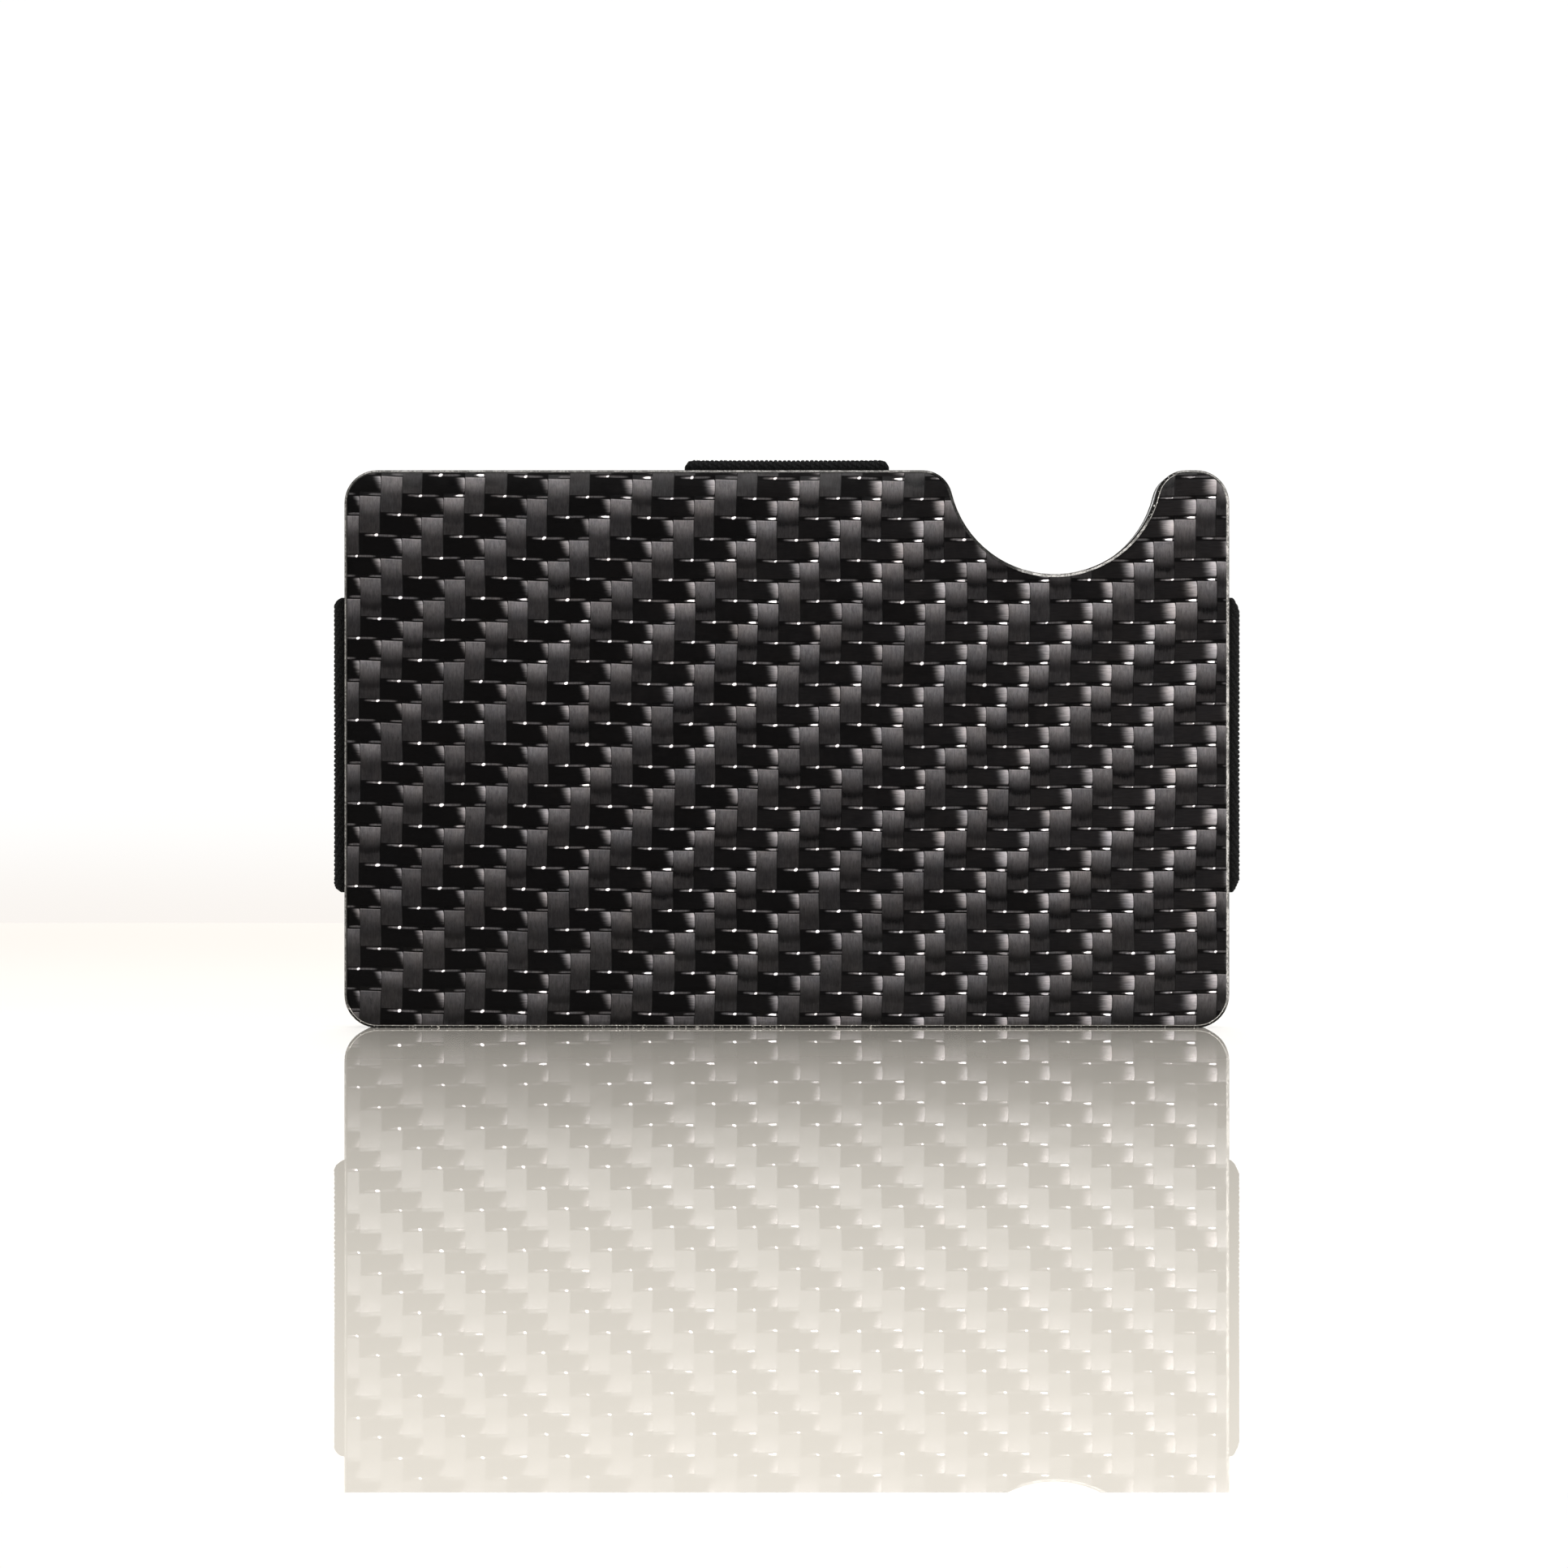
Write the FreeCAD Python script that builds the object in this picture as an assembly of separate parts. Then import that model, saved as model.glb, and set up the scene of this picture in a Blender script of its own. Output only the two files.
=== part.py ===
import FreeCAD, Part
import math
import os

# Minimalist card wallet, closed and empty, standing on its long edge.
# Millimetres.  X runs along the width, Z up, Y through the thickness with the front at -Y.
# The origin is the middle of the footprint.  The card mouth is the bottom edge, the thumb
# notch is in the top edge near +X.  Each half is a stack of four layers, listed here from
# the outside inwards: carbon cover, bond film, channel frame, liner plate.

# ---- outline shared by every plate
WIDTH = 86.0
HEIGHT = 54.2
CORNER_R = 3.2
NOTCH_R = 10.25
NOTCH_X = 26.0
NOTCH_RISE = 0.15         # centre of the notch circle above the top edge
SHOULDER_R = 2.9          # rounding where the notch runs into the top edge

# ---- thickness of the layers of one half
CARD_GAP = 0.2            # between the two liners with no card inside
LINER_T = 0.6
FRAME_T = 1.2
BOND_T = 0.1
COVER_T = 1.0
COVER_CHAMFER = 0.3
LINER_CHAMFER = 0.2
FRAME_CHAMFER = 0.12
BOND_INSET = 0.6

# ---- elastic bands and the channels they lie in
BAND_T = 0.6
CHANNEL_DEPTH = 0.8
BAND_SIDE_PLAY = 0.25     # between a band's selvedge and its channel
BAND_END_PLAY = 0.3
SIDE_BAND_W = 28.8
SIDE_BAND_Z = 27.5
SIDE_BAND_LENGTH = 20.5   # of each leg, from the plate's edge to its end
SIDE_BAND_PROUD = 1.2
TOP_BAND_W = 20.0
TOP_BAND_LENGTH = 11.6
TOP_BAND_PROUD = 1.1
BAND_BEND_R = 1.0         # outer radius of the folds at the plates' edges
BAND_CORNER_R = 0.6

# ---- anchor pins through the band ends
PIN_D = 1.2
PIN_FIT = 0.02            # radial, in the frame and liner
PIN_EYE = 0.15            # radial, in the punched band
PIN_INSET = 2.4           # from the end of the band
PIN_LINER_DEPTH = 0.3
SIDE_PIN_PITCH = 10.0
TOP_PIN_PITCH = 12.0

# ---- countersunk M1.6 screws, heads under the cover
SCREW_D = 1.6
SCREW_HEAD_D = 3.0
SCREW_HEAD_H = 0.7
SCREW_FIT = 0.05
SCREW_RECESS = 0.05
HEX_AF = 0.9
HEX_DEPTH = 0.45
SCREWS_XZ = [(-38.5, 6.5), (0.0, 6.5), (38.5, 6.5), (0.0, 27.5),
             (-38.5, 47.7), (-14.0, 47.7), (14.0, 47.7), (38.9, 47.0)]

# ---- depths of the layer boundaries, measured from the middle plane
LINER_IN = CARD_GAP / 2
FRAME_IN = LINER_IN + LINER_T
BOND_IN = FRAME_IN + FRAME_T
COVER_IN = BOND_IN + BOND_T
COVER_OUT = COVER_IN + COVER_T
BAND_IN = FRAME_IN + (CHANNEL_DEPTH - BAND_T) / 2
BAND_OUT = BAND_IN + BAND_T

V = FreeCAD.Vector
os.makedirs("parts", exist_ok=True)


def arc(cx, cz, radius, deg_from, deg_to):
    """Arc in the XZ plane, angles measured from +X towards +Z."""
    points = []
    for deg in (deg_from, (deg_from + deg_to) / 2, deg_to):
        a = math.radians(deg)
        points.append(V(cx + radius * math.cos(a), 0, cz + radius * math.sin(a)))
    return Part.Arc(*points).toShape()


def outline(inset=0.0):
    """Closed plate outline, moved inwards by the inset."""
    x1, z0, z1 = WIDTH / 2 - inset, inset, HEIGHT - inset
    xc, zb, zt = WIDTH / 2 - CORNER_R, CORNER_R, HEIGHT - CORNER_R
    corner, notch, shoulder = CORNER_R - inset, NOTCH_R + inset, SHOULDER_R - inset
    nz = HEIGHT + NOTCH_RISE
    sz = HEIGHT - SHOULDER_R
    reach = math.sqrt((NOTCH_R + SHOULDER_R) ** 2 - (nz - sz) ** 2)
    tilt = math.degrees(math.atan2(nz - sz, reach))
    left, right = NOTCH_X - reach, NOTCH_X + reach

    def line(xa, za, xb, zb_):
        return Part.LineSegment(V(xa, 0, za), V(xb, 0, zb_)).toShape()

    edges = [
        line(-xc, z0, xc, z0),
        arc(xc, zb, corner, -90, 0),
        line(x1, zb, x1, zt),
        arc(xc, zt, corner, 0, 90),
        line(xc, z1, right, z1),
        arc(right, sz, shoulder, 90, 180 - tilt),
        arc(NOTCH_X, nz, notch, -tilt, -180 + tilt),
        arc(left, sz, shoulder, tilt, 90),
        line(left, z1, -xc, z1),
        arc(-xc, zt, corner, 90, 180),
        line(-x1, zt, -x1, zb),
        arc(-xc, zb, corner, 180, 270),
    ]
    return Part.Wire(edges)


def plate(depth_in, depth_out, inset=0.0):
    """Plate of the front half between two depths from the middle plane."""
    face = Part.Face(outline(inset))
    face.translate(V(0, -depth_out, 0))
    return face.extrude(V(0, depth_out - depth_in, 0))


def rim(solid, depth):
    """Edges of a plate's face that lies at the given depth."""
    return [e for e in solid.Edges
            if abs(e.BoundBox.YMin + depth) < 1e-4 and abs(e.BoundBox.YMax + depth) < 1e-4]


def rod(x, z, depth_in, depth_out, radius):
    """Cylinder along Y between two depths of the front half."""
    return Part.makeCylinder(radius, depth_out - depth_in, V(x, -depth_out, z), V(0, 1, 0))


def block(x0, x1, y0, y1, z0, z1):
    return Part.makeBox(x1 - x0, y1 - y0, z1 - z0, V(x0, y0, z0))


# ---- pin positions at the band ends
side_pin_x = WIDTH / 2 - SIDE_BAND_LENGTH + PIN_INSET
top_pin_z = HEIGHT - TOP_BAND_LENGTH + PIN_INSET
PINS_LEFT = [(-side_pin_x, SIDE_BAND_Z + k * SIDE_PIN_PITCH) for k in (-1, 0, 1)]
PINS_RIGHT = [(-x, z) for x, z in PINS_LEFT]
PINS_TOP = [(k * TOP_PIN_PITCH / 2, top_pin_z) for k in (-1, 1)]
PINS_XZ = PINS_LEFT + PINS_RIGHT + PINS_TOP


# ---- carbon cover plate, chamfered all round its outer face
def cover():
    body = plate(COVER_IN, COVER_OUT)
    return body.makeChamfer(COVER_CHAMFER, rim(body, COVER_OUT))


# ---- bond film that holds the cover on, cut out over each screw head
def bond_film():
    film = plate(BOND_IN, COVER_IN, BOND_INSET)
    for x, z in SCREWS_XZ:
        film = film.cut(rod(x, z, BOND_IN - 1, COVER_IN + 1, SCREW_HEAD_D / 2 + 0.2))
    return film


# ---- channel frame: three pockets for the bands, screw and pin holes
def channels():
    side_half = SIDE_BAND_W / 2 + BAND_SIDE_PLAY
    side_end = WIDTH / 2 - SIDE_BAND_LENGTH - BAND_END_PLAY
    top_half = TOP_BAND_W / 2 + BAND_SIDE_PLAY
    top_end = HEIGHT - TOP_BAND_LENGTH - BAND_END_PLAY
    y_floor, y_open = -(FRAME_IN + CHANNEL_DEPTH), -FRAME_IN + 1
    z0, z1 = SIDE_BAND_Z - side_half, SIDE_BAND_Z + side_half
    return [
        block(-WIDTH, -side_end, y_floor, y_open, z0, z1),
        block(side_end, WIDTH, y_floor, y_open, z0, z1),
        block(-top_half, top_half, y_floor, y_open, top_end, HEIGHT + 5),
    ]


def screw_seat(x, z, fit):
    """Countersunk clearance shape for one screw."""
    head = SCREW_HEAD_D / 2 + fit
    shank = SCREW_D / 2 + fit
    top = BOND_IN
    cone = Part.makeCone(head, shank, SCREW_HEAD_H + fit, V(x, -top, z), V(0, 1, 0))
    return cone.fuse(rod(x, z, 0, top, shank))


def channel_frame():
    body = plate(FRAME_IN, BOND_IN)
    body = body.makeChamfer(FRAME_CHAMFER, rim(body, BOND_IN))
    for pocket in channels():
        body = body.cut(pocket)
    for x, z in SCREWS_XZ:
        body = body.cut(screw_seat(x, z, SCREW_FIT))
    for x, z in PINS_XZ:
        body = body.cut(rod(x, z, 0, BOND_IN + 1, PIN_D / 2 + PIN_FIT))
    return body


# ---- liner plate: closes the channels, its inner rim eased for the cards
def liner_plate():
    body = plate(LINER_IN, FRAME_IN)
    body = body.makeChamfer(LINER_CHAMFER, rim(body, LINER_IN))
    for x, z in SCREWS_XZ:
        body = body.cut(rod(x, z, -1, FRAME_IN + 1, SCREW_D / 2 + 0.02))
    for x, z in PINS_XZ:
        depth = FRAME_IN - PIN_LINER_DEPTH - 0.02
        body = body.cut(rod(x, z, depth, FRAME_IN + 1, PIN_D / 2 + PIN_FIT))
    return body


# ---- flat-head screws with hexagon sockets, flush with the liner's inner face
def screw(x, z):
    top = BOND_IN - SCREW_RECESS
    tip = LINER_IN + 0.05
    cone = Part.makeCone(SCREW_HEAD_D / 2, SCREW_D / 2, SCREW_HEAD_H, V(x, -top, z), V(0, 1, 0))
    body = cone.fuse(rod(x, z, tip, top - SCREW_HEAD_H / 2, SCREW_D / 2))
    r = HEX_AF / math.sqrt(3)
    corners = []
    for k in range(7):
        a = math.radians(60 * k)
        corners.append(V(x + r * math.cos(a), -top - 0.01, z + r * math.sin(a)))
    socket = Part.Face(Part.makePolygon(corners)).extrude(V(0, HEX_DEPTH, 0))
    return body.cut(socket)


# ---- anchor pins, with lightly rounded ends
def pin(x, z):
    inner = FRAME_IN - PIN_LINER_DEPTH
    body = rod(x, z, inner, BOND_IN - 0.05, PIN_D / 2)
    ends = [e for e in body.Edges if e.BoundBox.YLength < 1e-4]
    return body.makeChamfer(0.08, ends)


# ---- one elastic band: two punched legs joined by the fold at the plates' edges
def folded_band(width, length, proud, pins):
    """Band with its fold at +X, width along Z about z = 0, edge of the plates at x = 0."""
    outer = block(-length, proud, -BAND_OUT, BAND_OUT, -width / 2, width / 2)
    folds = [e for e in outer.Edges
             if abs(e.BoundBox.XMin - proud) < 1e-4 and e.BoundBox.XLength < 1e-4
             and e.BoundBox.ZLength > width - 1e-3]
    outer = outer.makeFillet(BAND_BEND_R, folds)
    reach = proud - BAND_T
    inner = block(-length - 1, reach, -BAND_IN, BAND_IN, -width / 2 - 1, width / 2 + 1)
    folds = [e for e in inner.Edges
             if abs(e.BoundBox.XMin - reach) < 1e-4 and e.BoundBox.XLength < 1e-4
             and e.BoundBox.ZLength > width]
    inner = inner.makeFillet(BAND_BEND_R - BAND_T, folds)
    mask = block(-length, proud, -5, 5, -width / 2, width / 2)
    tips = [e for e in mask.Edges
            if abs(e.BoundBox.XMin - proud) < 1e-4 and e.BoundBox.YLength > 9]
    mask = mask.makeFillet(BAND_CORNER_R, tips)
    band = outer.cut(inner).common(mask)
    for x, z in pins:
        hole = Part.makeCylinder(PIN_D / 2 + PIN_EYE, 10, V(x, -5, z), V(0, 1, 0))
        band = band.cut(hole)
    return band


def side_band(sign):
    pins = [(PIN_INSET - SIDE_BAND_LENGTH, k * SIDE_PIN_PITCH) for k in (-1, 0, 1)]
    band = folded_band(SIDE_BAND_W, SIDE_BAND_LENGTH, SIDE_BAND_PROUD, pins)
    if sign < 0:
        band.rotate(V(0, 0, 0), V(0, 1, 0), 180)
    band.translate(V(sign * WIDTH / 2, 0, SIDE_BAND_Z))
    return band


def top_band():
    pins = [(PIN_INSET - TOP_BAND_LENGTH, k * TOP_PIN_PITCH / 2) for k in (-1, 1)]
    band = folded_band(TOP_BAND_W, TOP_BAND_LENGTH, TOP_BAND_PROUD, pins)
    band.rotate(V(0, 0, 0), V(0, 1, 0), -90)
    band.translate(V(0, 0, HEIGHT))
    return band


def mirrored(shape):
    return shape.mirror(V(0, 0, 0), V(0, 1, 0))


half = {
    "cover_plate": cover(),
    "bond_film": bond_film(),
    "channel_frame": channel_frame(),
    "liner_plate": liner_plate(),
    "frame_screws": Part.makeCompound([screw(x, z) for x, z in SCREWS_XZ]),
    "anchor_pins": Part.makeCompound([pin(x, z) for x, z in PINS_XZ]),
}
nodes = {}
for name, shape in half.items():
    nodes["front_" + name] = shape
    nodes["rear_" + name] = mirrored(shape)
nodes["left_elastic_band"] = side_band(-1)
nodes["right_elastic_band"] = side_band(1)
nodes["top_elastic_band"] = top_band()

for name, shape in nodes.items():
    shape.exportStep("parts/" + name + ".step")
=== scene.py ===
import math

import bmesh
import bpy
import numpy as np
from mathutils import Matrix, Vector
from mathutils.geometry import delaunay_2d_cdt


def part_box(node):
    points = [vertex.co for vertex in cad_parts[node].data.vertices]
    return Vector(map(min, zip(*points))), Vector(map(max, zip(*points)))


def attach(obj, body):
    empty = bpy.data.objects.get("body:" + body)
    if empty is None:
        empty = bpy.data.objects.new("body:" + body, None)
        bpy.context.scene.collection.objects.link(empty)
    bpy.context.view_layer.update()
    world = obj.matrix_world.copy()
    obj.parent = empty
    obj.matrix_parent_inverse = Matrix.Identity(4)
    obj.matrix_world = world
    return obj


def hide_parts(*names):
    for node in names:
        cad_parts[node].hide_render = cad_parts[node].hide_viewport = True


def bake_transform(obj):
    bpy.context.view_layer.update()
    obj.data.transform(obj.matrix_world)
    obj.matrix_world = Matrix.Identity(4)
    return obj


# A closed, empty card wallet on its long edge.  Metres, Z up, front face at -Y.  The plates,
# frames, liners, screws and pins are the CAD nodes with new materials; the woven layer of each
# cover and the three elastic bands are built here.

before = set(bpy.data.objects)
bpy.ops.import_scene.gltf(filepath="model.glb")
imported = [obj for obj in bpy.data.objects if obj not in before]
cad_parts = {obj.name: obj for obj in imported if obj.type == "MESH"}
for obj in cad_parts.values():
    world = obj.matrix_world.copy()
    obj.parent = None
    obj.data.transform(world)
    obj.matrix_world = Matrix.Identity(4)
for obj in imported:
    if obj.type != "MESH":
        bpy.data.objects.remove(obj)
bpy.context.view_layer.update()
MM = 0.001

# ---------------------------------------------------------------- sizes

# the twill
TOW_X = 2.030 * MM        # pitch of the upright tows
TOW_Z = 2.005 * MM        # pitch of the level tows
TWILL_X = 3.23 * MM       # left end of one level float
TWILL_Z = 35.61 * MM      # top of its row
ROW_FALL = 0.0038         # the rows fall a little to the right
ROW_ARCH = 0.153          # and stand higher at both ends, by this times x squared
GAP = 0.20                # share of a row's pitch between two level tows
DOT_P, DOT_V = 0.87, 0.105        # round pinhole of resin, in tows across and rows down
BAR_P, BAR_END_P = 2.53, 2.93     # long one over an upright float, from its left to its right end

# the woven sheet
SHEET_STEP = 0.24 * MM    # grid of its points
SHEET_LIFT = 0.010 * MM   # of its gaps above the plate
CROWN = 0.045 * MM        # of its tows above the gaps
RIM_LIFT = 0.2            # share of the lift that is left at its outline

# the covers' cut edge
CHAMFER = 0.3 * MM        # of a cover's outer edge
CHAMFER_TOP = 3.0 * MM    # where it meets the woven face
PLY = 0.25 * MM
NOTCH_LOWER = 49.0 * MM   # below this the notch's wall is its lower part
NOTCH_UPPER = 50.5 * MM   # and above this its shoulders

# the elastic bands
BAND_T = 0.6 * MM
LEG_DEPTH = 1.1 * MM      # middle of a leg from the middle plane
FOLD_R = 0.7 * MM         # of the band's middle line
TIP_R = 0.25 * MM         # rounding of the fold's corners in the front view
END_PULL = 0.46           # share of its reach that the fold loses at its very ends
END_CURVE = 1.4           # and the power by which it does so
SEAM = 0.2 * MM           # where the two pieces of a band meet
RIB_PITCH = 0.45 * MM
RIB_RISE = 0.115 * MM
RIB_STEPS = 6             # points across a rib
LOOP_PITCH = 0.50 * MM
LEG_STEPS = 7
FOLD_STEP = 0.075 * MM    # between points along the knit
KNIT_FROM = -0.9 * MM     # the modelled knit starts this far inside the channel
KNIT_FADE = 0.4 * MM      # and has its full height after this
LOOP_SLANT = 0.8          # loops that one leans by across a rib
RIB_STAGGER = 0.5         # loops between neighbouring ribs
LOOP_ODD = 0.6            # most that a rib's loops are out of step, in radians
LOOP_SWELL = 0.42         # of a loop over its rib
RIB_ODD = 0.10            # most that a rib is higher or lower than the rest
RIB_INSET = 0.3           # share of a rib's rise that the strip's edge is drawn in by
YARN_LOOP, YARN_CROSS = 0.16 * MM, 0.22 * MM    # pitches of the painted yarn along the strip
SEED = 7

ROUND_OFF = 1e-9          # added to what must not fall short of a whole number
ROOT_GUARD = 1e-12        # keeps a root off zero
OUTLINE_GRID = 1e7        # outline points match when equal on a grid of this many steps a metre
FLAT_WITHIN = 1e-6        # of a plane, for a face to lie on it
MERGE_WITHIN = 1e-9       # points of the sheet closer than this are one

# ---------------------------------------------------------------- node arithmetic


class Sig:
    """A number in a node tree: arithmetic on it adds Math nodes."""

    def __init__(self, tree, out):
        self.tree, self.out = tree, out

    def op(self, kind, *others):
        node = self.tree.nodes.new("ShaderNodeMath")
        node.operation = kind
        for i, value in enumerate((self,) + others):
            if isinstance(value, Sig):
                self.tree.links.new(value.out, node.inputs[i])
            else:
                node.inputs[i].default_value = value
        return Sig(self.tree, node.outputs[0])

    def __add__(self, o):
        return self.op("ADD", o)

    def __sub__(self, o):
        return self.op("SUBTRACT", o)

    def __mul__(self, o):
        return self.op("MULTIPLY", o)

    def __truediv__(self, o):
        return self.op("DIVIDE", o)

    def __rsub__(self, o):
        return self.op("MULTIPLY", -1.0).op("ADD", o)

    __radd__, __rmul__ = __add__, __mul__


# These work on numpy arrays as well, so that the modelled and the painted twill agree.


def floor(x):
    return x.op("FLOOR") if isinstance(x, Sig) else np.floor(x)


def absolute(x):
    return x.op("ABSOLUTE") if isinstance(x, Sig) else np.abs(x)


def sine(x):
    return x.op("SINE") if isinstance(x, Sig) else np.sin(x)


def wrap(x, period):
    return x - floor(x / period) * period


def ramp(x, lo, hi):
    """0 below lo, 1 above hi, smooth between; lo may be above hi."""
    if lo > hi:
        return 1 - ramp(x, hi, lo)
    if isinstance(x, Sig):
        node = x.tree.nodes.new("ShaderNodeMapRange")
        node.interpolation_type = "SMOOTHSTEP"
        x.tree.links.new(x.out, node.inputs[0])
        node.inputs[1].default_value, node.inputs[2].default_value = lo, hi
        return Sig(x.tree, node.outputs[0])
    t = np.clip((x - lo) / (hi - lo), 0, 1)
    return t * t * (3 - 2 * t)


def bump_of(x, centre, half, soft):
    """1 within half of the centre, falling to 0 over soft."""
    return ramp(absolute(x - centre), half + soft, half)


def blob(p, v, at, size, soft):
    """Soft ellipse at a place in the cell."""
    dp, dv = (p - at[0]) / size[0], (v - at[1]) / size[1]
    return ramp(dp * dp + dv * dv, 1 + soft, 1 - soft)


class Shader:
    """One material with a Principled shader and helpers for its node tree."""

    def __init__(self, name, **sockets):
        self.mat = bpy.data.materials.new(name)
        self.mat.use_nodes = True
        self.tree = self.mat.node_tree
        self.tree.nodes.clear()
        out = self.new("OutputMaterial")
        self.bsdf = self.new("BsdfPrincipled")
        self.link(self.bsdf.outputs[0], out.inputs[0])
        for key, value in sockets.items():
            self.bsdf.inputs[key.replace("_", " ")].default_value = value
        coord = self.new("TexCoord")
        self.point, self.facing = coord.outputs["Object"], coord.outputs["Normal"]
        self.x, self.y, self.z = self.split(self.point)

    def new(self, kind):
        return self.tree.nodes.new("ShaderNode" + kind)

    def link(self, a, b):
        self.tree.links.new(a.out if isinstance(a, Sig) else a, b)

    def split(self, vector):
        node = self.new("SeparateXYZ")
        self.link(vector, node.inputs[0])
        return [Sig(self.tree, o) for o in node.outputs]

    def join(self, x, y, z):
        node = self.new("CombineXYZ")
        for value, socket in zip((x, y, z), node.inputs):
            if isinstance(value, Sig):
                self.link(value, socket)
            else:
                socket.default_value = value
        return node.outputs[0]

    def noise(self, vector, scale, detail):
        """Noise of about -1 to 1 round 0."""
        node = self.new("TexNoise")
        self.link(vector, node.inputs["Vector"])
        node.inputs["Scale"].default_value = scale
        node.inputs["Detail"].default_value = detail
        return (Sig(self.tree, node.outputs["Fac"]) - 0.5) * 3.0

    def grain(self, sx, sy, sz, detail=2.0):
        """Noise stretched by its own count of grains per millimetre on each axis."""
        stretched = self.join(self.x * (sx / MM), self.y * (sy / MM), self.z * (sz / MM))
        return self.noise(stretched, 1.0, detail)

    def mix(self, share, a, b):
        """Vector mixed from a to b."""
        node = self.new("Mix")
        node.data_type = "RGBA"
        self.link(share, node.inputs["Factor"])
        for value, socket in ((a, node.inputs[6]), (b, node.inputs[7])):
            if isinstance(value, tuple):
                socket.default_value = value + (1.0,)
            else:
                self.link(value, socket)
        return node.outputs[2]

    def tint(self, value, rgb):
        """Grey value times a colour."""
        return self.join(*[value * c for c in rgb])

    def bump(self, height, distance, strength, normal=None):
        node = self.new("Bump")
        node.inputs["Strength"].default_value = strength
        node.inputs["Distance"].default_value = distance
        self.link(height, node.inputs["Height"])
        if normal is not None:
            self.link(normal, node.inputs["Normal"])
        return node.outputs[0]

    def to_world(self, vector):
        node = self.new("VectorTransform")
        node.vector_type, node.convert_from, node.convert_to = "VECTOR", "OBJECT", "WORLD"
        self.link(vector, node.inputs[0])
        return node.outputs[0]

    def set(self, key, value):
        self.link(value, self.bsdf.inputs[key])


# ---------------------------------------------------------------- the twill


def twill(x, z, side):
    """Place within the 2 by 2 twill: p 0 to 2 is a level float and 2 to 4 two upright ones,
    v runs down the row.  The tows wander a little.  The back shows the same weave, seen from
    the back."""
    x = x * side
    across = (x - TWILL_X) / TOW_X
    down = (TWILL_Z - z - x * ROW_FALL + x * x * ROW_ARCH) / TOW_Z
    across = across + sine(down * 0.75) * 0.040 + sine(across * 2.3 + 1.0) * 0.030
    down = down + sine(across * 1.1 + 0.4) * 0.022 + sine(down * 1.9 + 2.0) * 0.030
    row = floor(down)
    return wrap(across + row, 4.0), down - row, floor(across), row


def relief(x, z, side):
    """Height of the tows, 0 in the gaps to 1 on the crowns."""
    p, v, _, _ = twill(x, z, side)
    body = ramp(v, GAP - 0.03, GAP + 0.10) * ramp(v, 1.0, 0.90)
    level = ramp(p, 0.0, 0.30) * ramp(p, 1.98, 1.45) * body * (p < 2)
    edge = wrap(p, 1.0)
    sides = ramp(edge, 0.0, 0.10) * ramp(edge, 1.0, 0.90)
    along = np.where(p < 3, (v - GAP) / (2 - GAP), (1 - GAP + v) / (2 - GAP))
    upright = ramp(along, 0.0, 0.22) * ramp(along, 1.0, 0.72) * sides * (p >= 2)
    return np.maximum(level, upright)


class Cell:
    """What the woven face is painted from: the place within the twill, noise along the fibres
    and chance numbers that belong to each tow."""

    def __init__(self, shader, side):
        s = self.shader = shader
        self.p, self.v, column, row = twill(s.x, s.z, side)
        self.across = s.grain(9.0, 0.0, 0.8)        # streaks along the upright fibres
        self.level = s.grain(0.8, 0.0, 9.0)         # and along the level ones
        cloud = s.noise(s.point, 110.0, 2.0)
        self.mottle = s.noise(s.point, 1500.0, 2.0)
        self.wobble = s.noise(s.point, 4200.0, 2.0)
        self.fine = s.grain(14.0, 0.0, 3.5)
        tow = s.new("TexWhiteNoise")
        tow.noise_dimensions = "2D"
        second_half = ramp(self.p, 0.999, 1.0) * ramp(self.p, 2.0, 1.999)
        same_tow = s.join(column - second_half, row - ramp(self.p, 2.99, 3.0), 0.0)
        s.link(same_tow, tow.inputs["Vector"])
        self.odd = Sig(s.tree, tow.outputs["Value"]) - 0.5
        self.odd_r, self.odd_g, _ = [c - 0.5 for c in s.split(tow.outputs["Color"])]
        # painted light: the tows are painted brighter on the side nearer the window
        self.lit = s.x * side * 12.0 + cloud * 0.22   # the side nearer the window is livelier
        self.high = s.z * 18.0                        # 0 at the standing edge to 1 at the top


def level_float(c):
    """Nearly black, with a painted highlight on its right end, where it rolls over into the light.
    """
    down = (c.v - GAP) / (1 - GAP)
    breadth = 0.72 + c.lit * 0.36 + c.odd * 0.16
    slant = down * (0.14 - c.lit * 0.34) + down * down * 0.06
    turn = (2.0 - c.p + slant - c.level * 0.06) / breadth
    corner = (down - 0.5) * (down - 0.5) * 4.0
    barrel = ramp(c.p + corner * corner * 0.045, 2.0, 1.975)
    barrel = barrel * ramp(down, 0.0, 0.05) * ramp(down + c.level * 0.02, 1.0, 0.86)
    # painted highlight where the right end rolls over, brightest at its top
    painted_highlight = ramp(turn, 1.0, 0.03)
    painted_highlight = painted_highlight * painted_highlight * barrel * (0.25 + c.lit * 0.12 + c.odd * 0.12)
    grained = 1.0 + c.level * 0.30 + c.mottle * 0.20
    tone = painted_highlight * grained * (1.30 - down * (0.92 - c.lit * 0.30))
    # painted sheen: the black is lifted a little on the side nearer the window
    dull = ramp(c.lit + c.mottle * 0.10 + c.odd_g * 0.3, -0.25, 0.75)
    return tone + 0.002 + dull * (1.0 + c.level * 0.5) * 0.007


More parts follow.
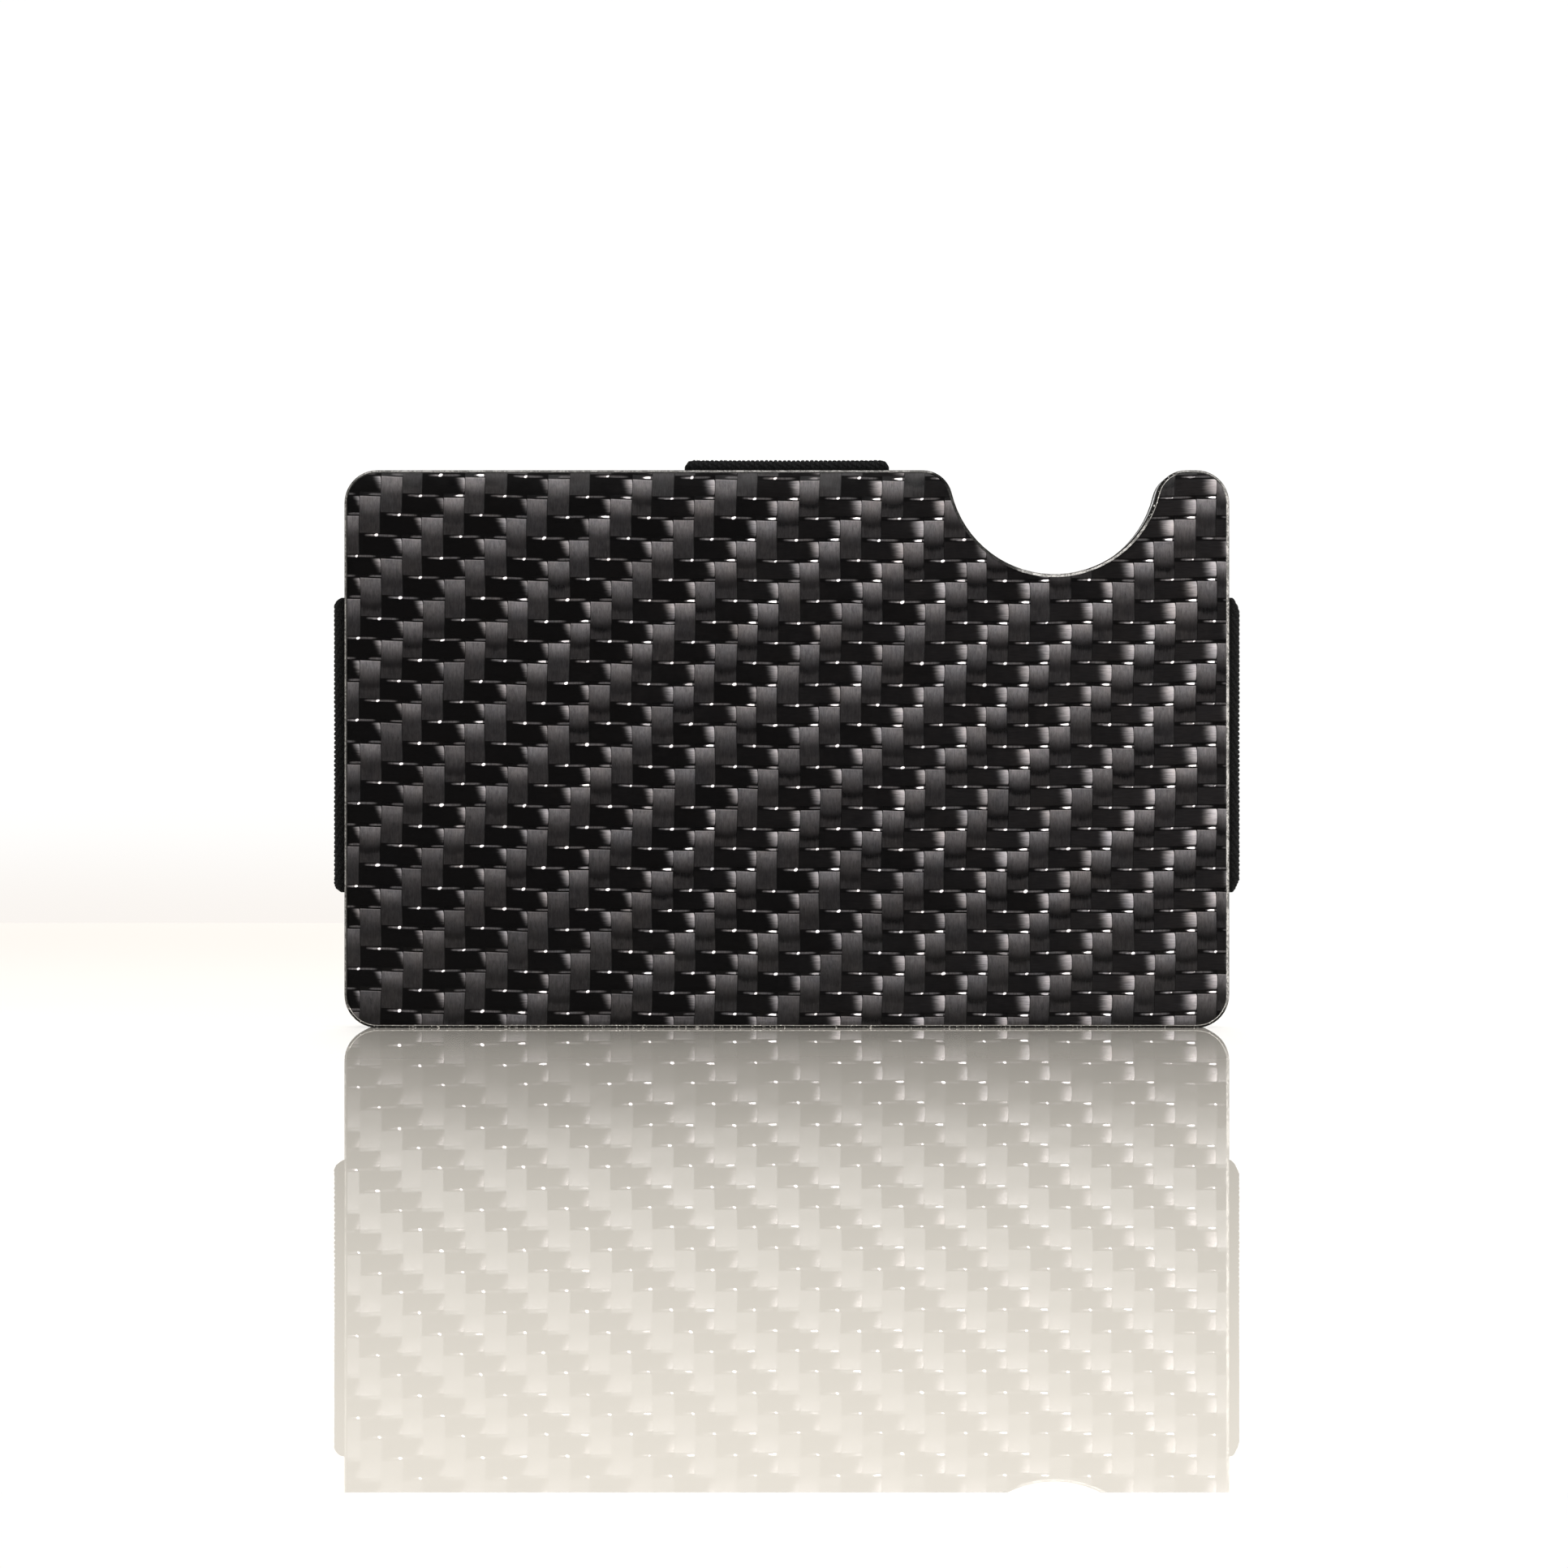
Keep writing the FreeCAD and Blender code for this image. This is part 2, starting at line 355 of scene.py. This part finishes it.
def upright_float(c):
    """Painted sheen: grey with fine streaks at its upper end, then a dark fold of painted shade
    and a dull lower end.
    """
    first = ramp(c.p, 3.0, 2.995)
    along = (c.v + (1 - GAP) - first) / (2 - GAP)
    edge = wrap(c.p, 1.0)
    bow = (edge - 0.5) * (edge - 0.5) * 0.18
    place = along + bow + c.mottle * 0.035 + c.across * 0.030 + c.odd * 0.12
    sides = ramp(edge, -0.02, 0.035) * ramp(edge, 1.0, 0.95)
    upper_sheen = ramp(place, 0.60, -0.04)
    # painted shade: a dark fold across the lower part of the float
    fold = ramp(place + c.wobble * 0.015, 0.50, 0.68)
    fold = fold * ramp(place + c.wobble * 0.02, 0.84, 0.72)
    fold = fold * ramp(c.lit + c.odd_g * 1.4, -0.8, 0.6) * 0.75
    # painted sheen of the upright tows, brightest at the upper end and brighter towards the
    # window's side and the plate's top
    tone = 0.016 + upper_sheen * (0.047 + c.lit * 0.022 + c.high * 0.046 + c.odd_r * 0.060)
    patch = c.shader.grain(4.0, 0.0, 1.3)
    streaks = 1.0 + c.across * 0.30 + c.fine * 0.24 + c.mottle * 0.20 + patch * 0.30
    tone = tone * streaks * (1.0 - fold)
    # painted highlight along the float's top edge
    tone = tone + bump_of(along, 0.012, 0.008, 0.018) * first * 0.04
    return tone * (0.08 + sides * 0.92)


def row_gap(c):
    """Gap above the level floats: its tone, and painted glints where its round and long pinholes
    of resin catch the light."""
    strip = bump_of(c.v, 0.10, 0.030, 0.035)
    pale = blob(c.p, c.v, (1.30, 0.10), (0.40, 0.10), 0.8) * 0.050
    pale = pale + blob(c.p, c.v, (0.58, 0.10), (0.26, 0.08), 0.8) * 0.05
    pale = pale + blob(c.p, c.v, (2.78, 0.11), (0.30, 0.08), 0.7) * 0.05
    jog = c.odd * 0.10 + c.mottle * 0.02
    lift = c.mottle * 0.02 + c.odd_r * 0.03
    dot_z = (c.v + lift - DOT_V) / 0.070
    dot_x = (c.p + jog - DOT_P) / 0.092 + dot_z * 0.25
    faint = ramp(c.lit + c.odd_r * 0.3, 0.10, 0.55) * 0.55
    reach = dot_x * dot_x + dot_z * dot_z + c.wobble * 0.45 + c.odd_g * 0.6 + faint
    dot_glint = ramp(reach, 1.08, 0.50)
    tail_glint = blob(c.p + jog, c.v + lift, (0.70, 0.115), (0.17, 0.036), 0.9)
    tail_glint = tail_glint * (0.12 + c.lit * 0.07)
    bar_x = c.p + c.odd_g * 0.06
    bar_z = (c.v + lift - 0.115) / (0.020 + ramp(bar_x, 2.54, 2.74) * 0.028)
    bar_glint = ramp(bar_z * bar_z + c.wobble * 0.30, 1.25, 0.6)
    bar_glint = bar_glint * ramp(bar_x, BAR_P, BAR_P + 0.07)
    bar_glint = bar_glint * ramp(bar_x + c.wobble * 0.01, BAR_END_P, BAR_END_P - 0.03)
    bar_glint = bar_glint * ramp(c.lit * 1.6 + c.odd * 0.9 + c.odd_r * 0.4, -0.15, 0.25)
    tone = 0.002 + strip * pale * (1.0 + c.across * 0.5 + c.wobble * 0.4)
    # painted glints of the pinholes and their tails
    tone = tone + (dot_glint + tail_glint * (1.0 + c.wobble * 0.6) + bar_glint) * 0.92
    return tone, dot_glint, bar_glint


def carbon_face(side):
    """Twill under clear gloss resin; much of its tone is painted light: the sheen of the upright
    tows, highlights on the level floats' right ends and glints in the pinholes.
    """
    s = Shader("carbon_twill_" + ("front" if side > 0 else "rear"), Metallic=0.30,
               Anisotropic=0.75, Coat_Roughness=0.03, Coat_IOR=1.4, Specular_IOR_Level=0.02)
    c = Cell(s, side)
    weft = level_float(c)
    warp = upright_float(c)
    gap, dot_glint, bar_glint = row_gap(c)
    is_warp = ramp(c.p, 1.995, 2.005)
    lid = sine(wrap(c.p, 2.0) * (math.pi / 2)) * 0.018
    is_gap = ramp(c.v - lid, GAP + 0.012, GAP - 0.012) * ramp(c.p, 3.005, 2.995)
    value = weft + (warp - weft) * is_warp
    value = value + (gap - value) * is_gap
    hue = s.noise(s.point, 300.0, 1.0) * 0.03 + c.mottle * 0.02
    s.set("Base Color", s.join(value * (1.0 + hue), value * 0.935, value * (0.965 - hue)))
    s.set("Roughness", 0.34 + is_warp * 0.06 + c.across * 0.02)
    fibre = s.mix(is_warp, s.join(c.level, c.level, c.level), s.join(c.across, c.across, c.across))
    s.set("Normal", s.bump(fibre, 0.012 * MM, 0.6))
    s.set("Tangent", s.to_world(s.mix(is_warp, (0.0, 0.0, 1.0), (1.0, 0.0, 0.0))))
    s.set("Coat Weight", 0.08 + is_warp * 0.50 + c.mottle * 0.02)
    flat = s.to_world(s.join(0.0, -float(side), 0.0))
    dimple = s.noise(s.point, 420.0, 1.0) * 0.4 - dot_glint * 2.0 - bar_glint * 1.5
    s.set("Coat Normal", s.bump(dimple, 0.004 * MM, 0.7, flat))
    return s.mat


# ---------------------------------------------------------------- other materials


def carbon_edge():
    """Cut edge of the laminate: plies and resin specks on the wall, and a chamfer of pale cut
    fibre ends with painted shade: it is painted dark where it faces down or into the notch, and
    darker where it faces right, left or up.  On the notch's lower wall it stays pale, with a
    painted dark line of shade next to the wall on the right."""
    s = Shader("carbon_cut_edge", Specular_IOR_Level=0.02)
    nx, ny, nz = s.split(s.facing)
    slope = bump_of(absolute(ny), 0.7, 0.2, 0.1)
    speck = s.noise(s.point, 5200.0, 2.0)
    patch = s.noise(s.point, 900.0, 2.0)
    ply = wrap(absolute(s.y) / PLY + patch * 0.15, 1.0)
    line = bump_of(ply, 0.5, 0.08, 0.1)
    wall = 0.018 + line * 0.03 + ramp(speck, 0.55, 0.95) * 0.45
    lower = ramp(nz, 0.22, 0.42) * ramp(s.z, NOTCH_UPPER, NOTCH_LOWER)
    # painted shade: the chamfer turns dark where it faces down or into the notch
    inward = ramp(nx * s.x, -0.006, -0.014) * (1 - lower) + ramp(nz, -0.10, -0.45)
    inward = ramp(inward + patch * 0.25, 0.15, 0.75)
    # in shade: the notch's left wall, and what faces up and to the left
    shaded = ramp(nx, 0.10, 0.40) * ramp(s.x, 40 * MM, 36 * MM) + ramp(nz - nx, 1.1, 1.3) * 0.5
    pale = 0.20 + ramp(speck + patch * 0.8, -0.5, 0.6) * 0.42
    rise = (absolute(s.y) - (CHAMFER_TOP - CHAMFER)) / CHAMFER
    right, left, top = ramp(nx, 0.15, 0.60), ramp(nx, -0.15, -0.60), ramp(nz, 0.15, 0.60)
    resin = ramp(rise + patch * 0.10 + speck * 0.06, 0.48, 0.68) * (1 - right * (1 - top))
    # painted shade: the pale chamfer is darker where it faces right, left or up
    side = 0.95 - right * 0.32 - (left * 0.52 + top * 0.22) * (1 - lower)
    pale = pale * side * (1 - resin * (1 - lower) * 0.90)
    dark = 0.014 + ramp(speck, 0.36, 0.60) * 0.75
    rim = bump_of(rise + patch * 0.05, 0.84, 0.08, 0.06) * (0.50 + speck * 0.3)
    dark = dark + rim * 0.75
    chamfer = pale + (dark - pale) * inward
    chamfer = chamfer * (0.35 + ramp(rise + speck * 0.06, 0.08, 0.30) * 0.65)
    chamfer = chamfer * (1 - ramp(shaded + patch * 0.15, 0.2, 0.6) * 0.90)
    # painted shade: a dark line along the chamfer's outer edge on the notch's lower right wall
    stain = lower * ramp(nx, -0.10, -0.25) * ramp(rise + speck * 0.03, 0.42, 0.28)
    chamfer = chamfer * (1 - stain * 0.95)
    s.set("Base Color", s.tint(wall + (chamfer - wall) * slope, (1.0, 0.97, 0.93)))
    s.set("Roughness", 0.75 + patch * 0.08)
    s.set("Normal", s.bump(speck, 0.03 * MM, 0.5))
    return s.mat


def aluminium():
    """Satin plate: grain along the height on the flats, cutter marks and knocks on the edges."""
    s = Shader("satin_aluminium", Metallic=1.0, Anisotropic=0.5)
    _, ny, _ = s.split(s.facing)
    flat = ramp(absolute(ny), 0.8, 0.95)
    brush = s.grain(16.0, 0.0, 0.35, 3.0)
    milled = s.grain(0.9, 11.0, 0.9)
    mark = milled + (brush - milled) * flat
    wear = s.noise(s.point, 260.0, 3.0)
    nick = ramp(s.noise(s.point, 1900.0, 2.0), 0.62, 0.95) * (1 - flat)
    value = (0.47 + mark * 0.070 + wear * 0.050) * (1 - nick * 0.30)
    s.set("Base Color", s.tint(value, (0.985, 0.99, 1.0)))
    s.set("Roughness", 0.30 + wear * 0.05 + mark * 0.04 + nick * 0.10)
    s.set("Normal", s.bump(mark - nick, 0.012 * MM, 0.6))
    return s.mat


def anodised():
    """Bead-blasted metal dyed black, worn through in a few specks."""
    s = Shader("black_anodised", Specular_IOR_Level=0.03)
    blast = s.noise(s.point, 6500.0, 2.0)
    cloud = s.noise(s.point, 500.0, 3.0)
    bare = ramp(s.noise(s.point, 2300.0, 2.0) + cloud * 0.3, 0.85, 1.15)
    value = 0.009 + cloud * 0.002 + blast * 0.002 + bare * 0.22
    s.set("Base Color", s.tint(value, (1.0, 0.98, 0.98)))
    s.set("Roughness", 0.60 + cloud * 0.06 - bare * 0.12)
    s.set("Normal", s.bump(blast, 0.012 * MM, 0.6))
    return s.mat


def steel():
    """Turned screws and pins with a light stain."""
    s = Shader("turned_steel", Metallic=1.0, Anisotropic=0.4)
    turned = s.noise(s.point, 3800.0, 2.0)
    stain = s.noise(s.point, 700.0, 2.0)
    s.set("Base Color", s.tint(0.52 + turned * 0.04 + stain * 0.05, (1.0, 0.985, 0.96)))
    s.set("Roughness", 0.30 + stain * 0.06)
    s.set("Normal", s.bump(turned, 0.008 * MM, 0.5))
    return s.mat


def adhesive():
    """Dark cured film, a little cloudy."""
    s = Shader("cured_adhesive", Specular_IOR_Level=0.4)
    cloud = s.noise(s.point, 900.0, 3.0)
    s.set("Base Color", s.tint(0.03 + cloud * 0.008, (1.0, 0.96, 0.9)))
    s.set("Roughness", 0.55 + cloud * 0.1)
    s.set("Normal", s.bump(cloud, 0.02 * MM, 0.4))
    return s.mat


def elastic(name, width_axis):
    """Black knitted elastic: fine yarn loops over the modelled ribs, with painted highlights on
    the loops' crests and pale specks of painted glint.
    """
    s = Shader(name, Specular_IOR_Level=0.06, Sheen_Weight=0.03, Sheen_Roughness=0.4)
    s.bsdf.inputs["Sheen Tint"].default_value = (0.5, 0.5, 0.55, 1.0)
    w, out = (s.z, s.x) if width_axis == "Z" else (s.x, s.z)
    rib = w * (2 * math.pi / RIB_PITCH)
    loops = sine(rib + (s.y + out) * (2 * math.pi / YARN_LOOP))
    cross = sine(rib * 0.5 - (s.y - out) * (2 * math.pi / YARN_CROSS))
    fuzz_and_glint = s.noise(s.point, 7000.0, 3.0)
    wear = s.noise(s.point, 1700.0, 2.0)
    crest_highlight = ramp(loops * 0.6 + cross * 0.4 + wear * 0.4, 0.1, 1.1)
    # painted highlights on the loops' crests and pale specks of painted glint
    value = 0.0035 + crest_highlight * 0.011 + ramp(fuzz_and_glint, 0.45, 1.0) * 0.030
    s.set("Base Color", s.tint(value, (1.0, 1.03, 1.02)))
    s.set("Roughness", 0.78 + fuzz_and_glint * 0.06)
    s.set("Normal", s.bump(loops + cross * 0.7 + fuzz_and_glint * 0.9, 0.035 * MM, 0.9))
    return s.mat


# ---------------------------------------------------------------- the woven sheet


def mesh_object(name, points, faces, smooth=True):
    mesh = bpy.data.meshes.new(name)
    mesh.from_pydata([tuple(p) for p in points], [], faces)
    if smooth:
        mesh.shade_smooth()
    obj = bpy.data.objects.new(name, mesh)
    bpy.context.scene.collection.objects.link(obj)
    return obj


def face_outline(node, depth):
    """Ordered outline of a CAD node's flat face at y = depth, from the face's own edges."""
    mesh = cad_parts[node].data
    spots = [tuple(round(c * OUTLINE_GRID) for c in v.co.xz) for v in mesh.vertices]
    uses = {}
    for poly in mesh.polygons:
        if all(abs(mesh.vertices[i].co.y - depth) < FLAT_WITHIN for i in poly.vertices):
            corners = [spots[i] for i in poly.vertices]
            for a, b in zip(corners, corners[1:] + corners[:1]):
                pair = frozenset((a, b))
                uses[pair] = uses.get(pair, 0) + 1
    neighbours = {}
    for pair, count in uses.items():
        if count == 1:
            a, b = pair
            neighbours.setdefault(a, []).append(b)
            neighbours.setdefault(b, []).append(a)
    ring, last = [min(neighbours)], None
    while True:
        step = [k for k in neighbours[ring[-1]] if k != last][0]
        last = ring[-1]
        if step == ring[0]:
            break
        ring.append(step)
    ring = np.array(ring, float) * (1 / OUTLINE_GRID)
    area = np.sum(ring[:, 0] * np.roll(ring[:, 1], -1) - ring[:, 1] * np.roll(ring[:, 0], -1))
    return ring if area > 0 else ring[::-1]


def resample(ring, step):
    """The ring with no edge longer than the step."""
    out = []
    for a, b in zip(ring, np.roll(ring, -1, axis=0)):
        n = max(1, math.ceil(np.hypot(*(b - a)) / step))
        out += [a + (b - a) * k / n for k in range(n)]
    return np.array(out)


def weave_skin(name, node, side):
    """Woven face of a cover: a sheet of real tows laid on the plate's flat face."""
    lo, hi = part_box(node)
    depth = lo.y if side > 0 else hi.y
    ring = resample(face_outline(node, depth), SHEET_STEP)
    xs, zs = np.meshgrid(np.arange(lo.x + SHEET_STEP, hi.x, SHEET_STEP),
                         np.arange(lo.z + SHEET_STEP, hi.z, SHEET_STEP))
    grid = np.stack([xs.ravel(), zs.ravel()], 1)
    points = [Vector(q) for q in np.concatenate([ring, grid])]
    inside_only = 1
    flat, _, triangles, sources = delaunay_2d_cdt(
        points, [], [list(range(len(ring)))], inside_only, MERGE_WITHIN)[:4]
    flat = np.array([tuple(q) for q in flat])
    rim = [i for i, src in enumerate(sources) if any(k < len(ring) for k in src)]
    height = SHEET_LIFT + CROWN * relief(flat[:, 0], flat[:, 1], side)
    height[rim] = SHEET_LIFT * RIM_LIFT
    out = -float(side)
    co = np.stack([flat[:, 0], depth + out * height, flat[:, 1]], 1)
    faces = [tuple(f) if side > 0 else tuple(reversed(f)) for f in triangles]
    obj = mesh_object(name, co, faces)
    if obj.data.polygons[0].normal.y * out < 0:
        obj.data.flip_normals()
    obj.data.materials.append(carbon_face(side))
    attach(obj, "front_half" if side > 0 else "rear_half")


# ---------------------------------------------------------------- the elastic bands


def band_path(length, proud, front):
    """Points (out, y) and their outward normals along the middle line of one piece, and the run
    along it, counted from the middle plane."""
    way = 1 if front else -1
    reach = proud - BAND_T / 2 - FOLD_R
    drop = LEG_DEPTH - FOLD_R
    path = [(o, -LEG_DEPTH, 0.0, -1.0)
            for o in np.linspace(-length, KNIT_FROM, LEG_STEPS, endpoint=False)]
    n = math.ceil((reach - KNIT_FROM) / FOLD_STEP)
    path += [(o, -LEG_DEPTH, 0.0, -1.0) for o in np.linspace(KNIT_FROM, reach, n, endpoint=False)]
    n = math.ceil(FOLD_R * math.pi / 2 / FOLD_STEP)
    for a in np.linspace(-math.pi / 2, 0, n, endpoint=False):
        path.append((reach + FOLD_R * math.cos(a), -drop + FOLD_R * math.sin(a),
                     math.cos(a), math.sin(a)))
    end = SEAM * way
    n = math.ceil((end + drop) / FOLD_STEP)
    path += [(reach + FOLD_R, y, 1.0, 0.0) for y in np.linspace(-drop, end, n + 1)]
    path = np.array(path)
    path[:, 1] *= way
    path[:, 3] *= way
    run = np.concatenate([[0], np.cumsum(np.hypot(*np.diff(path[:, :2], axis=0).T))])
    return path, (run - run[-1]) * way + SEAM


def strip_faces(rows, cols):
    """Faces of a closed strip whose two skins are grids of rows by cols points."""
    def a(i, j):
        return i * cols + j

    def b(i, j):
        return (rows + i) * cols + j

    faces = []
    for i in range(rows - 1):
        for j in range(cols - 1):
            faces.append((a(i, j), a(i + 1, j), a(i + 1, j + 1), a(i, j + 1)))
            faces.append((b(i, j), b(i, j + 1), b(i + 1, j + 1), b(i + 1, j)))
        faces.append((a(i, 0), b(i, 0), b(i + 1, 0), a(i + 1, 0)))
        faces.append((a(i, cols - 1), a(i + 1, cols - 1), b(i + 1, cols - 1), b(i, cols - 1)))
    for j in range(cols - 1):
        faces.append((a(0, j), a(0, j + 1), b(0, j + 1), b(0, j)))
        faces.append((a(rows - 1, j), b(rows - 1, j), b(rows - 1, j + 1), a(rows - 1, j + 1)))
    return faces


def band_piece(name, node, out_axis, sign, proud, end_run, front):
    """Half of a band: a closed ribbed strip from its end in the channel to the seam.  The fold
    lies lower along its last stretch, end_run, at both ends."""
    lo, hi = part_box(node)
    if out_axis == "X":
        length, tip = hi.x - lo.x, (hi.x if sign > 0 else -lo.x)
        width, middle = hi.z - lo.z, (hi.z + lo.z) / 2
    else:
        length, tip = hi.z - lo.z, hi.z
        width, middle = hi.x - lo.x, (hi.x + lo.x) / 2
    edge = tip - proud
    path, run = band_path(length - proud, proud, front)

    # round ribs along the strip, each a twisted row of loops
    ribs = round(width / RIB_PITCH)
    w = np.linspace(-1, 1, ribs * RIB_STEPS + 1)
    index = np.minimum(np.floor((w + 1) / 2 * ribs + ROUND_OFF), ribs - 1)
    across = (w + 1) / 2 * ribs - index
    round_top = np.sqrt(np.clip(1 - (2 * across - 1) ** 2, 0, 1))
    rng = np.random.default_rng(SEED)
    odd = rng.uniform(-1, 1, ribs)[index.astype(int)]
    knit = ramp(path[:, 0], KNIT_FROM, KNIT_FROM + KNIT_FADE)
    turns = run[:, None] / LOOP_PITCH + across[None] * LOOP_SLANT + index[None] * RIB_STAGGER
    twist = np.sin(2 * np.pi * turns + odd[None] * LOOP_ODD)
    rise = round_top[None] * (1 + LOOP_SWELL * twist + RIB_ODD * odd[None]) * knit[:, None]

    # the fold's corners are rounded, and its ends pulled in
    over = np.clip(path[:, 0] + path[:, 2] * BAND_T / 2 - (proud - TIP_R), 0, TIP_R)
    half = width / 2 - (TIP_R - np.sqrt(TIP_R ** 2 - over ** 2 + ROOT_GUARD))
    place = middle + w[None] * (half[:, None] - RIB_RISE * RIB_INSET)
    from_end = width / 2 * (1 - np.abs(w))
    pull = END_PULL * np.clip(1 - from_end / end_run, 0, 1) ** END_CURVE

    skins = []
    for face in (1, -1):
        off = (BAND_T / 2 - RIB_RISE + RIB_RISE * rise) * face
        o = path[:, 0][:, None] + path[:, 2][:, None] * off
        o = o - np.maximum(o, 0) * pull[None]
        o = sign * (edge + o)
        y = path[:, 1][:, None] + path[:, 3][:, None] * off
        skins.append(np.stack([o, y, place] if out_axis == "X" else [place, y, o], -1))
    points = np.concatenate([skin.reshape(-1, 3) for skin in skins])
    obj = mesh_object(name, points, strip_faces(*rise.shape))
    bm = bmesh.new()
    bm.from_mesh(obj.data)
    bmesh.ops.recalc_face_normals(bm, faces=bm.faces)
    bm.to_mesh(obj.data)
    bm.free()
    obj.data.materials.append(ELASTIC[out_axis])
    return obj


# ---------------------------------------------------------------- build

EDGE, FILM, BLACK, LINER, STEEL = carbon_edge(), adhesive(), anodised(), aluminium(), steel()
ELASTIC = {"X": elastic("knitted_elastic_side", "Z"), "Z": elastic("knitted_elastic_top", "X")}
FINISH = {"cover_plate": EDGE, "bond_film": FILM, "channel_frame": BLACK, "liner_plate": LINER,
          "frame_screws": STEEL, "anchor_pins": STEEL}
for half_name in ("front", "rear"):
    for part, material in FINISH.items():
        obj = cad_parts[half_name + "_" + part]
        obj.data.materials.clear()
        obj.data.materials.append(material)

weave_skin("front_weave", "front_cover_plate", 1)
weave_skin("rear_weave", "rear_cover_plate", -1)

plate_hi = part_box("front_liner_plate")[1]
SIDE_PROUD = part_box("right_elastic_band")[1].x - plate_hi.x
TOP_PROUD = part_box("top_elastic_band")[1].z - plate_hi.z
BANDS = (("left", "X", -1, SIDE_PROUD, 0.5 * MM),
         ("right", "X", 1, SIDE_PROUD, 1.2 * MM),
         ("top", "Z", 1, TOP_PROUD, 0.4 * MM))
for label, out_axis, sign, proud, end_run in BANDS:
    node = label + "_elastic_band"
    for front in (True, False):
        piece = band_piece(label + ("_band_front" if front else "_band_rear"),
                           node, out_axis, sign, proud, end_run, front)
        if front:
            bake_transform(piece)
        else:
            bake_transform(piece)
        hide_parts(node)

# ---------------------------------------------------------------- floor, light, camera

scene = bpy.context.scene
scene.view_settings.view_transform = "Standard"

FLOOR_NEAR, FLOOR_FAR, FLOOR_SIDE = -0.298, 0.337, 0.9
floor_mesh = mesh_object("floor", [(-FLOOR_SIDE, FLOOR_NEAR, 0), (FLOOR_SIDE, FLOOR_NEAR, 0),
                                   (FLOOR_SIDE, FLOOR_FAR, 0), (-FLOOR_SIDE, FLOOR_FAR, 0)],
                         [(0, 1, 2, 3)], False)
gloss = Shader("pale_gloss_floor", Roughness=0.0, IOR=1.5)
haze = 0.92 + gloss.noise(gloss.point, 6.0, 2.0) * 0.012
gloss.set("Base Color", gloss.join(haze, haze * 0.942, haze * 0.845))
floor_mesh.data.materials.append(gloss.mat)


def studio():
    """The room as the gloss sees it: bright behind and above the wallet, a window low in front
    of it and paler sides.  The camera sees plain white."""
    world = bpy.data.worlds.new("studio")
    world.use_nodes = True
    tree = world.node_tree
    tree.nodes.clear()
    coord = tree.nodes.new("ShaderNodeTexCoord")
    direction = tree.nodes.new("ShaderNodeSeparateXYZ")
    tree.links.new(coord.outputs["Generated"], direction.inputs[0])
    x, y, z = [Sig(tree, o) for o in direction.outputs]
    behind = ramp(y, -0.35, 0.55)
    above = ramp(z, 0.25, 0.9)
    window = ramp(y, -0.85, -0.95) * ramp(z, 0.060, 0.085) * ramp(z, 0.30, 0.20)
    window = window * (1 - ramp(z, 0.085, 0.16) * 0.5)
    horizon = ramp(absolute(z), 0.12, 0.03)
    sides = ramp(absolute(x), 0.75, 1.0) * (0.35 + horizon * 0.33)
    room = 0.03 + behind * 1.0 + above * 0.45 + sides + window * 10.0
    path = tree.nodes.new("ShaderNodeLightPath")
    seen = Sig(tree, path.outputs["Is Camera Ray"])
    # a faint dusk low on the left, seen past the floor's far edge and again in its gloss
    dusk = bump_of(z * (1 - seen * 2.0), 0.0305, 0.0, 0.028) * ramp(x, -0.035, -0.10)
    dusk = dusk * ramp(y, 0.6, 0.95)
    dusky_room = room * (1 - dusk * 0.16)
    strength = dusky_room + (1.02 * (1 - dusk * 0.06) - dusky_room) * seen
    warm = tree.nodes.new("ShaderNodeCombineXYZ")
    warm.inputs[0].default_value = 1.0
    tree.links.new((0.995 - dusk * 0.035).out, warm.inputs[1])
    tree.links.new((0.985 - dusk * 0.065).out, warm.inputs[2])
    background = tree.nodes.new("ShaderNodeBackground")
    tree.links.new(warm.outputs[0], background.inputs[0])
    tree.links.new(strength.out, background.inputs[1])
    output = tree.nodes.new("ShaderNodeOutputWorld")
    tree.links.new(background.outputs[0], output.inputs[0])
    return world


def softbox(name, place, target, size, power):
    """Area light turned to its target, unseen by the camera."""
    light = bpy.data.lights.new(name, "AREA")
    light.shape, light.size, light.size_y, light.energy = "RECTANGLE", size[0], size[1], power
    obj = bpy.data.objects.new(name, light)
    scene.collection.objects.link(obj)
    obj.location = place
    aim = Vector(target) - Vector(place)
    obj.rotation_mode = "QUATERNION"
    obj.rotation_quaternion = aim.to_track_quat("-Z", "Y")
    obj.visible_camera = False
    return obj


scene.world = studio()
MIDDLE, FOOT = (0.0, 0.0, 0.027), (0, 0, 0)
softbox("key_right", (0.46, -0.30, 0.16), MIDDLE, (0.22, 0.34), 3.0)
softbox("fill_left", (-0.50, -0.24, 0.14), MIDDLE, (0.20, 0.34), 1.6)
softbox("overhead", (0.0, 0.0, 0.90), FOOT, (1.4, 1.0), 1.1)
backlight = softbox("backlight", (0.0, 0.92, 0.38), FOOT, (0.5, 0.22), 12.5)
backlight.visible_glossy = False

DISTANCE = 0.450          # from the front face to the lens
EYE_X, EYE_Z = -0.276 * MM, 23.7 * MM
VIEW_WIDTH = 152.3 * MM   # what the picture spans at the front face
SENSOR = 36.0             # the camera's own millimetres
camera = bpy.data.cameras.new("camera")
camera.sensor_width = SENSOR
camera.lens = SENSOR * DISTANCE / VIEW_WIDTH
camera.clip_start, camera.clip_end = 0.01, 20.0
eye = bpy.data.objects.new("camera", camera)
scene.collection.objects.link(eye)
eye.location = (EYE_X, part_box("front_cover_plate")[0].y - DISTANCE, EYE_Z)
eye.rotation_euler = (math.pi / 2, 0, 0)
scene.camera = eye
